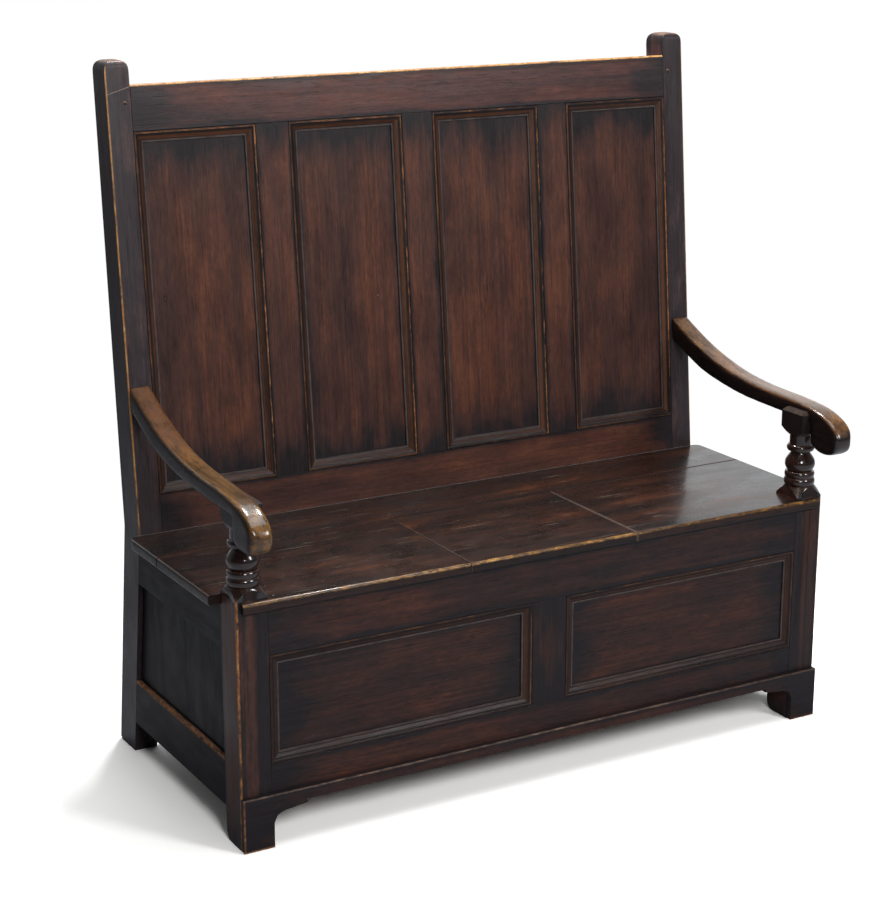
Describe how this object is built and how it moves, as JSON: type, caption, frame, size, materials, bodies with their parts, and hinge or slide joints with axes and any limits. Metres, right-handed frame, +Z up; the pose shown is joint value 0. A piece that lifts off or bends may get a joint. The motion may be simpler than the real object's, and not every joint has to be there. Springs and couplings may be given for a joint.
{
  "type": "settle bench",
  "caption": "Wooden box settle with a tall raked panelled back, scrolled arms on turned supports and a storage box under a seat with a hinged lid.",
  "frame": {"origin": "on the floor, under the middle of the whole settle's bounding box", "axes": "+X to the sitter-facing viewer's right, +Y from the front of the box to the back, +Z up"},
  "size_m": [1.269, 0.6344, 1.284],
  "materials": {
    "oak_frame": "dark stained and waxed oak, worn to gold on the arrises",
    "oak_panel": "dark stained and waxed oak",
    "oak_moulding": "dark stained oak, worn orange on the bead",
    "oak_seat": "dark oak polished by use",
    "oak_arm": "oak worn golden brown by hands",
    "oak_inner": "plain dry oak",
    "iron": "black wrought iron"
  },
  "bodies": {
    "frame": {"arm_left": "oak_arm", "arm_right": "oak_arm", "back_bottom_rail": "oak_frame", "back_moulding_1": "oak_moulding", "back_moulding_2": "oak_moulding", "back_moulding_3": "oak_moulding", "back_moulding_4": "oak_moulding", "back_muntin_1": "oak_frame", "back_muntin_2": "oak_frame", "back_muntin_3": "oak_frame", "back_panel_1": "oak_panel", "back_panel_2": "oak_panel", "back_panel_3": "oak_panel", "back_panel_4": "oak_panel", "back_post_left": "oak_frame", "back_post_right": "oak_frame", "back_top_rail": "oak_frame", "box_back_bottom_rail": "oak_inner", "box_back_muntin": "oak_inner", "box_back_panel_left": "oak_inner", "box_back_panel_right": "oak_inner", "box_back_top_rail": "oak_inner", "bracket_plinth": "oak_frame", "floor_board_1": "oak_inner", "floor_board_2": "oak_inner", "floor_board_3": "oak_inner", "floor_ledge_back": "oak_inner", "floor_ledge_front": "oak_inner", "front_bottom_rail": "oak_frame", "front_moulding_left": "oak_moulding", "front_moulding_right": "oak_moulding", "front_muntin": "oak_frame", "front_panel_left": "oak_panel", "front_panel_right": "oak_panel", "front_post_left": "oak_frame", "front_post_right": "oak_frame", "front_top_rail": "oak_frame", "hinge_leaf_fixed_left": "iron", "hinge_leaf_fixed_right": "iron", "hinge_pin_left": "iron", "hinge_pin_right": "iron", "seat_bearer_ledge": "oak_inner", "seat_bearer_left": "oak_inner", "seat_bearer_right": "oak_inner", "seat_front_board_left": "oak_seat", "seat_front_board_right": "oak_seat", "seat_rear_board": "oak_seat", "side_bottom_rail_left": "oak_frame", "side_bottom_rail_right": "oak_frame", "side_panel_left": "oak_panel", "side_panel_right": "oak_panel", "side_top_rail_left": "oak_frame", "side_top_rail_right": "oak_frame", "top_rail_peg_left": "oak_frame", "top_rail_peg_right": "oak_frame"},
    "lid": {"hinge_leaf_lid_left": "iron", "hinge_leaf_lid_right": "iron", "seat_lid": "oak_seat"}
  },
  "joints": [
    {"name": "lid_hinge", "type": "hinge", "parent": "frame", "child": "lid", "pos_m": [0.005, 0.04311, 0.4416], "axis": [-1, 0, 0], "range_deg": [0, 120]}
  ]
}
